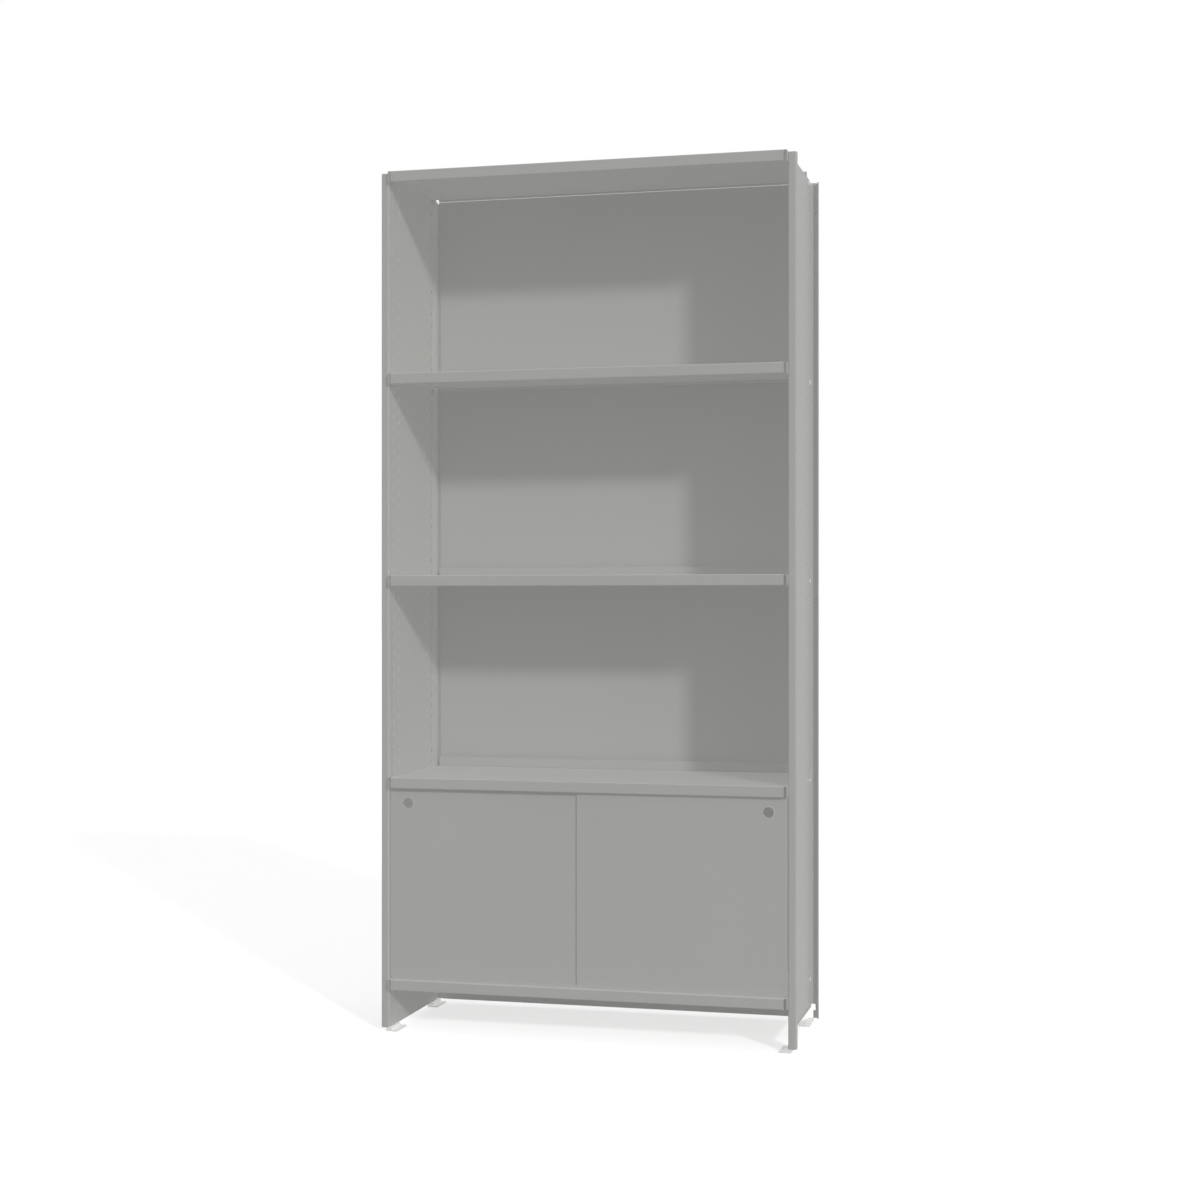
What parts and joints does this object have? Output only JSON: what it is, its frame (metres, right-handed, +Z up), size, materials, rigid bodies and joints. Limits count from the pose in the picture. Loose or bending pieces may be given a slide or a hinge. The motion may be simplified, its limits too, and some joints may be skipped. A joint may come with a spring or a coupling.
{
  "type": "bookcase with sliding-door cabinet",
  "caption": "Tall steel bookcase with slotted open-channel side panels, folded shelves, open bays and a low cabinet closed by overlapping sliding doors with round finger holes.",
  "frame": {"origin": "on the floor, below the middle of the bookcase", "axes": "+Z up, the front faces -Y, +X to the right as seen from the front"},
  "size_m": [0.882, 0.3376, 1.8315],
  "materials": {
    "light_grey_paint": "fine matt powder coat",
    "track_paint": "fine matt powder coat",
    "zinc": "bright zinc plated",
    "nylon": "matt",
    "ring_plastic": "satin",
    "foot_plastic": "matt"
  },
  "bodies": {
    "bookcase": {"back_panel": "light_grey_paint", "back_panel_screws": "zinc", "base_shelf": "light_grey_paint", "cabinet_top_shelf": "light_grey_paint", "front_left_foot": "foot_plastic", "front_right_foot": "foot_plastic", "left_bracket_base_shelf": "light_grey_paint", "left_bracket_cabinet_top_shelf": "light_grey_paint", "left_bracket_middle_shelf": "light_grey_paint", "left_bracket_top_shelf": "light_grey_paint", "left_bracket_upper_shelf": "light_grey_paint", "left_side_panel": "light_grey_paint", "lower_door_track": "track_paint", "middle_shelf": "light_grey_paint", "rear_left_foot": "foot_plastic", "rear_right_foot": "foot_plastic", "right_bracket_base_shelf": "light_grey_paint", "right_bracket_cabinet_top_shelf": "light_grey_paint", "right_bracket_middle_shelf": "light_grey_paint", "right_bracket_top_shelf": "light_grey_paint", "right_bracket_upper_shelf": "light_grey_paint", "right_side_panel": "light_grey_paint", "shelf_bolts": "zinc", "shelf_nuts": "zinc", "top_shelf": "light_grey_paint", "upper_door_track": "track_paint", "upper_shelf": "light_grey_paint"},
    "left_door": {"left_door": "light_grey_paint", "left_door_lower_glides": "nylon", "left_door_upper_glides": "nylon", "left_finger_ring": "ring_plastic"},
    "right_door": {"right_door": "light_grey_paint", "right_door_lower_glides": "nylon", "right_door_upper_glides": "nylon", "right_finger_ring": "ring_plastic"}
  },
  "joints": [
    {"name": "left_door_slide", "type": "slide", "parent": "bookcase", "child": "left_door", "axis": [1, 0, 0], "range_m": [0, 0.405]},
    {"name": "right_door_slide", "type": "slide", "parent": "bookcase", "child": "right_door", "axis": [-1, 0, 0], "range_m": [0, 0.405]}
  ]
}
